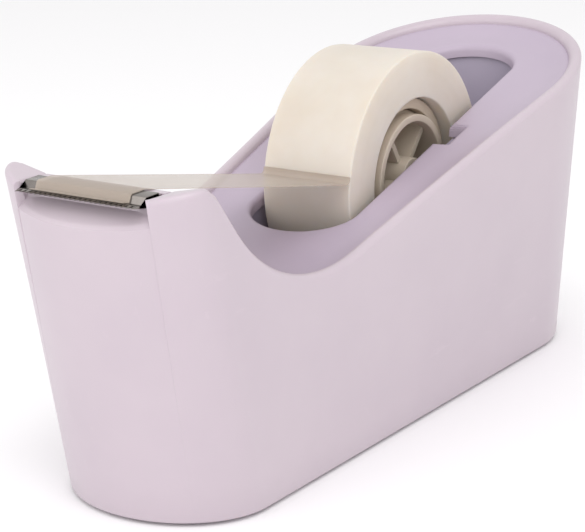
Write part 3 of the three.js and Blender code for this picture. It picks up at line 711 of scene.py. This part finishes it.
# ribs on both faces of the hub's web, set out round the axis
def hubRibs():
    tree = bpy.data.node_groups.new("hubRibs", "GeometryNodeTree")
    for label, kind, value in (("Count", "NodeSocketInt", 5), ("Thickness", "NodeSocketFloat", 0.001),
                               ("Inner Radius", "NodeSocketFloat", 0.003),
                               ("Outer Radius", "NodeSocketFloat", 0.01), ("Depth", "NodeSocketFloat", 0.006),
                               ("Centre", "NodeSocketVector", (0, 0, 0)),
                               ("Material", "NodeSocketMaterial", None)):
        socket = tree.interface.new_socket(label, in_out="INPUT", socket_type=kind)
        if value is not None:
            socket.default_value = value
    tree.interface.new_socket("Geometry", in_out="OUTPUT", socket_type="NodeSocketGeometry")
    start, end = tree.nodes.new("NodeGroupInput"), tree.nodes.new("NodeGroupOutput")
    out = start.outputs
    reach = mathNode(tree, "SUBTRACT", out["Outer Radius"], out["Inner Radius"])
    middle = mathNode(tree, "MULTIPLY", mathNode(tree, "ADD", out["Outer Radius"], out["Inner Radius"]), 0.5)
    size = addNode(tree, "ShaderNodeCombineXYZ", [("X", reach), ("Y", out["Depth"]), ("Z", out["Thickness"])])
    slab = addNode(tree, "GeometryNodeMeshCube", [("Size", size.outputs[0])])
    outward = addNode(tree, "ShaderNodeCombineXYZ", [("X", middle)])
    moved = addNode(tree, "GeometryNodeTransform", [("Geometry", slab.outputs["Mesh"]),
                    ("Translation", outward.outputs[0])])
    points = addNode(tree, "GeometryNodeMeshLine", [("Count", out["Count"])])
    points.inputs["Offset"].default_value = (0, 0, 0)
    step = mathNode(tree, "DIVIDE", 2 * math.pi, out["Count"])
    index = addNode(tree, "GeometryNodeInputIndex").outputs[0]
    turn = mathNode(tree, "MULTIPLY", mathNode(tree, "ADD", index, 0.3), step)
    spin = addNode(tree, "ShaderNodeCombineXYZ", [("Y", turn)])
    copies = addNode(tree, "GeometryNodeInstanceOnPoints", [("Points", points.outputs["Mesh"]),
                     ("Instance", moved.outputs["Geometry"]), ("Rotation", spin.outputs[0])])
    centred = addNode(tree, "GeometryNodeTransform", [("Geometry", copies.outputs["Instances"]),
                      ("Translation", out["Centre"])])
    real = addNode(tree, "GeometryNodeRealizeInstances", [("Geometry", centred.outputs["Geometry"])])
    painted = addNode(tree, "GeometryNodeSetMaterial", [("Geometry", real.outputs["Geometry"]),
                      ("Material", out["Material"])])
    tree.links.new(painted.outputs["Geometry"], end.inputs["Geometry"])
    return tree

# runs a Geometry Nodes tree once and returns its result as a plain mesh
def meshFromNodes(tree, values):
    holder = bpy.data.objects.new("holder", bpy.data.meshes.new("holder"))
    bpy.context.scene.collection.objects.link(holder)
    modifier = holder.modifiers.new("nodes", "NODES")
    modifier.node_group = tree
    for item in tree.interface.items_tree:
        if item.item_type == "SOCKET" and item.in_out == "INPUT" and item.name in values:
            modifier[item.identifier] = values[item.name]
    holder.update_tag()
    graph = bpy.context.evaluated_depsgraph_get()
    graph.update()
    mesh = bpy.data.meshes.new_from_object(holder.evaluated_get(graph))
    holder.modifiers.clear()
    bpy.data.objects.remove(holder)
    return mesh

def joinMesh(obj, mesh, angle=40):
    bm = bmesh.new()
    bm.from_mesh(obj.data)
    bm.from_mesh(mesh)
    bmesh.ops.recalc_face_normals(bm, faces=bm.faces)
    bm.to_mesh(obj.data)
    bm.free()
    bpy.data.meshes.remove(mesh)
    obj.data.shade_smooth()
    obj.data.set_sharp_from_angle(angle=math.radians(angle))

def hubSpool():
    s = hubSizes
    inner, web = s["end"] - s["wall"], s["web"] / 2
    half, grip, step = s["half"], s["grip"], s["radius"] - s["end"]
    corners = [(s["bore"], -half), (s["boss"], -half), (s["boss"], -web), (inner, -web), (inner, -half),
               (s["end"], -half), (s["end"], -grip - step), (s["radius"], -grip), (s["radius"], grip),
               (s["end"], grip + step), (s["end"], half), (inner, half), (inner, web), (s["boss"], web),
               (s["boss"], half), (s["bore"], half)]
    obj = turned("hubSpool", roundedProfile(corners, s["edge"], 3), 128, hubPlastic)
    ribs = meshFromNodes(hubRibs(), {
        "Count": s["ribs"], "Thickness": s["ribThick"] * mm,
        "Inner Radius": (s["boss"] - s["ribSink"]) * mm, "Outer Radius": (inner + s["ribSink"]) * mm,
        "Depth": s["ribShare"] * 2 * half * mm, "Material": hubPlastic,
        "Centre": (tapeRollSizes["centreX"] * mm, 0.0, tapeRollSizes["centreZ"] * mm),
    })
    joinMesh(obj, ribs)
    place(obj, "reel", ["hub_spool"], "hub_plastic")

tapeRoll()
tapeCore()
hubSpool()
print("reel made")

bladeSizes = {"back": -65.8, "front": -69.0, "z": 56.35, "thick": 0.5, "half": 12.2, "drop": 1.4, "lean": 0.5,
              "tab": 2.0, "teeth": 24, "shelf": 1.2, "reach": 1.6, "toothHigh": 0.42,
              "toothSink": 0.15, "upturn": 0.25, "edge": 0.12}

def bladeTeeth():
    tree = bpy.data.node_groups.new("bladeTeeth", "GeometryNodeTree")
    for label, kind, value in (("Count", "NodeSocketInt", 24), ("Pitch", "NodeSocketFloat", 0.001),
                               ("Reach", "NodeSocketFloat", 0.0016), ("Height", "NodeSocketFloat", 0.0004),
                               ("Start", "NodeSocketVector", (0, 0, 0)),
                               ("Material", "NodeSocketMaterial", None)):
        socket = tree.interface.new_socket(label, in_out="INPUT", socket_type=kind)
        if value is not None:
            socket.default_value = value
    tree.interface.new_socket("Geometry", in_out="OUTPUT", socket_type="NodeSocketGeometry")
    start, end = tree.nodes.new("NodeGroupInput"), tree.nodes.new("NodeGroupOutput")
    out = start.outputs
    radius = mathNode(tree, "MULTIPLY", out["Pitch"], 0.707)
    cone = addNode(tree, "GeometryNodeMeshCone", [("Radius Bottom", radius), ("Depth", out["Reach"])])
    cone.inputs["Vertices"].default_value = 4
    cone.inputs["Radius Top"].default_value = 0.0
    flat = mathNode(tree, "DIVIDE", out["Height"], out["Pitch"])
    squash = addNode(tree, "ShaderNodeCombineXYZ", [("X", flat)])
    squash.inputs["Y"].default_value = 1.0
    squash.inputs["Z"].default_value = 1.0
    turned45 = addNode(tree, "GeometryNodeTransform", [("Geometry", cone.outputs["Mesh"])])
    turned45.inputs["Rotation"].default_value = (0, 0, math.pi / 4)
    flattened = addNode(tree, "GeometryNodeTransform", [("Geometry", turned45.outputs["Geometry"]),
                        ("Scale", squash.outputs[0])])
    laid = addNode(tree, "GeometryNodeTransform", [("Geometry", flattened.outputs["Geometry"])])
    laid.inputs["Rotation"].default_value = (0, -math.pi / 2, 0)
    stepBy = addNode(tree, "ShaderNodeCombineXYZ", [("Y", out["Pitch"])])
    row = addNode(tree, "GeometryNodeMeshLine", [("Count", out["Count"]), ("Start Location", out["Start"]),
                  ("Offset", stepBy.outputs[0])])
    copies = addNode(tree, "GeometryNodeInstanceOnPoints", [("Points", row.outputs["Mesh"]),
                     ("Instance", laid.outputs["Geometry"])])
    real = addNode(tree, "GeometryNodeRealizeInstances", [("Geometry", copies.outputs["Instances"])])
    painted = addNode(tree, "GeometryNodeSetMaterial", [("Geometry", real.outputs["Geometry"]),
                      ("Material", out["Material"])])
    tree.links.new(painted.outputs["Geometry"], end.inputs["Geometry"])
    return tree

def cutterBlade():
    s = bladeSizes
    t = s["thick"]
    lipX, lipZ = s["front"] - s["lean"], s["z"] - s["drop"]
    endX, endZ = lipX - s["shelf"], lipZ + s["upturn"]
    side = [(s["back"], s["z"] + t), (s["front"], s["z"] + t - 0.1), (lipX, lipZ + t), (endX, endZ + t),
            (endX, endZ), (lipX + 0.4, lipZ), (s["front"] + t, s["z"] - 0.1), (s["back"] + t, s["z"]),
            (s["back"] + t, s["z"] - s["tab"]), (s["back"], s["z"] - s["tab"])]
    verts = [(x, y, z) for y in (-s["half"], s["half"]) for x, z in side]
    n = len(side)
    faces = [(i, (i + 1) % n, n + (i + 1) % n, n + i) for i in range(n)]
    faces += [tuple(range(n)), tuple(range(2 * n - 1, n - 1, -1))]
    obj = newMesh("cutterBlade", verts, faces, bladeSteel, 30)
    addBevel(obj, s["edge"], 3, 20)
    applyModifiers(obj, 30)
    pitch = 2 * s["half"] / s["teeth"]
    teeth = meshFromNodes(bladeTeeth(), {
        "Count": s["teeth"], "Pitch": pitch * mm, "Reach": s["reach"] * mm, "Height": s["toothHigh"] * mm,
        "Start": ((endX + s["toothSink"]) * mm, (-s["half"] + pitch / 2) * mm, (endZ + t / 2) * mm),
        "Material": bladeSteel,
    })
    joinMesh(obj, teeth, 20)
    place(obj, "housing", ["cutter_blade"], "blade_steel")

cutterBlade()
print("blade made")

stripSizes = {"thick": 0.12, "half": 9.5, "rise": 3.0, "bend": 1.2, "climb": 0.3, "clear": 0.02,
              "across": 12, "straightSteps": 12, "bendSteps": 12, "climbSteps": 6}

def stripPath():
    s, b, roll = stripSizes, bladeSizes, tapeRollSizes
    skin = roll["radius"] + s["clear"]
    lay = b["z"] + b["thick"] + 0.12
    lipX, lipZ = b["front"] - b["lean"], b["z"] - b["drop"]
    touch = math.asin(s["rise"] / skin)
    def onRoll(a):
        return Vector((roll["centreX"] - skin * math.cos(a), roll["centreZ"] + skin * math.sin(a)))
    peel = onRoll(touch)
    before = Vector((peel.x - s["bend"], mix(peel.y, lay, s["bend"] / (peel.x - b["back"]))))
    after = onRoll(touch + s["bend"] / skin)
    points = [Vector((lipX - 1.6, lipZ + b["thick"] + b["upturn"] + 0.2)),
              Vector((lipX - 0.2, lipZ + b["thick"] + 0.15)), Vector((b["front"] - 0.15, lay - 0.2)),
              Vector((b["front"] + 0.15, lay - 0.08)), Vector((b["back"], lay))]
    n = s["straightSteps"]
    points += [points[-1].lerp(before, k / n) for k in range(1, n)]
    for k in range(s["bendSteps"] + 1):
        t = k / s["bendSteps"]
        points.append(before * (1 - t) ** 2 + peel * 2 * t * (1 - t) + after * t ** 2)
    n = s["climbSteps"]
    return points + [onRoll(touch + (s["bend"] + s["climb"] * k / n) / skin) for k in range(1, n + 1)]

def tapeStrip():
    s = stripSizes
    path = stripPath()
    across = s["across"]
    verts = [(p.x, mix(-s["half"], s["half"], k / across), p.y) for p in path for k in range(across + 1)]
    faces = gridFaces(len(path), across + 1, wrapCols=False)
    obj = newMesh("tapeStrip", verts, faces, tapeFilm, 60)
    if obj.data.polygons[len(obj.data.polygons) // 2].normal.z < 0:
        obj.data.flip_normals()
    wall = obj.modifiers.new("filmThickness", "SOLIDIFY")
    wall.thickness = s["thick"] * mm
    wall.offset = 1.0
    applyModifiers(obj, 60)
    place(obj, "housing", ["tape_strip"], "tape_film")

tapeStrip()
print("free end of the tape made")

studio = {
    "floorTone": (250, 249, 250), "floorHalf": 3.0, "worldStrength": 0.9,
    "keyLight": {"spot": (-0.35, -0.35, 0.7), "aim": (0, 0, 0.03), "size": 0.6, "power": 2.4},
    "fillLight": {"spot": (-0.6, 0.3, 0.3), "aim": (0, 0, 0.03), "size": 0.5, "power": 0.8},
    "sideLight": {"spot": (-0.5, -0.4, 0.16), "aim": (0, 0, 0.04), "size": 0.35, "power": 0.3},
}

def studioFloor():
    mat = bpy.data.materials.new("paperFloor")
    mat.use_nodes = True
    shader = mat.node_tree.nodes["Principled BSDF"]
    shader.inputs["Base Color"].default_value = (*linear(studio["floorTone"]), 1)
    shader.inputs["Roughness"].default_value = 0.9
    mesh = bpy.data.meshes.new("studioFloor")
    w = studio["floorHalf"]
    mesh.from_pydata([(-w, -w, 0), (w, -w, 0), (w, w, 0), (-w, w, 0)], [], [(0, 1, 2, 3)])
    mesh.materials.append(mat)
    obj = bpy.data.objects.new("studioFloor", mesh)
    bpy.context.scene.collection.objects.link(obj)

def areaLight(name, spot, aim, size, power):
    light = bpy.data.lights.new(name, "AREA")
    light.energy = power
    light.size = size
    obj = bpy.data.objects.new(name, light)
    obj.location = spot
    obj.rotation_euler = (Vector(aim) - Vector(spot)).to_track_quat("-Z", "Y").to_euler()
    bpy.context.scene.collection.objects.link(obj)

def studioLights():
    world = bpy.data.worlds.new("studio")
    world.use_nodes = True
    back = world.node_tree.nodes["Background"]
    back.inputs["Color"].default_value = (1, 1, 1, 1)
    back.inputs["Strength"].default_value = studio["worldStrength"]
    bpy.context.scene.world = world
    for name in ("keyLight", "fillLight", "sideLight"):
        areaLight(name, **studio[name])

cameraSizes = {"spot": (-270.9, -177.5, 117.9), "azimuth": -55.50, "elevation": 15.53, "roll": -0.93,
               "focal": 1775.5, "frameWidth": 585, "sensor": 36}

def studioCamera():
    s = cameraSizes
    az, el, roll = (math.radians(s[k]) for k in ("azimuth", "elevation", "roll"))
    back = Vector((math.sin(az) * math.cos(el), -math.cos(az) * math.cos(el), math.sin(el)))
    right = (-back).cross(Vector((0, 0, 1))).normalized()
    up = right.cross(-back)
    rolledRight = math.cos(roll) * right + math.sin(roll) * up
    rolledUp = math.cos(roll) * up - math.sin(roll) * right
    cam = bpy.data.cameras.new("camera")
    cam.sensor_width = s["sensor"]
    cam.lens = s["focal"] * s["sensor"] / s["frameWidth"]
    cam.clip_start = 0.01
    obj = bpy.data.objects.new("camera", cam)
    place = Matrix((rolledRight, rolledUp, back)).transposed().to_4x4()
    place.translation = Vector(s["spot"]) * mm
    obj.matrix_world = place
    bpy.context.scene.collection.objects.link(obj)
    bpy.context.scene.camera = obj

studioFloor()
studioLights()
studioCamera()
bpy.context.scene.view_settings.view_transform = "Standard"
print("studio ready")
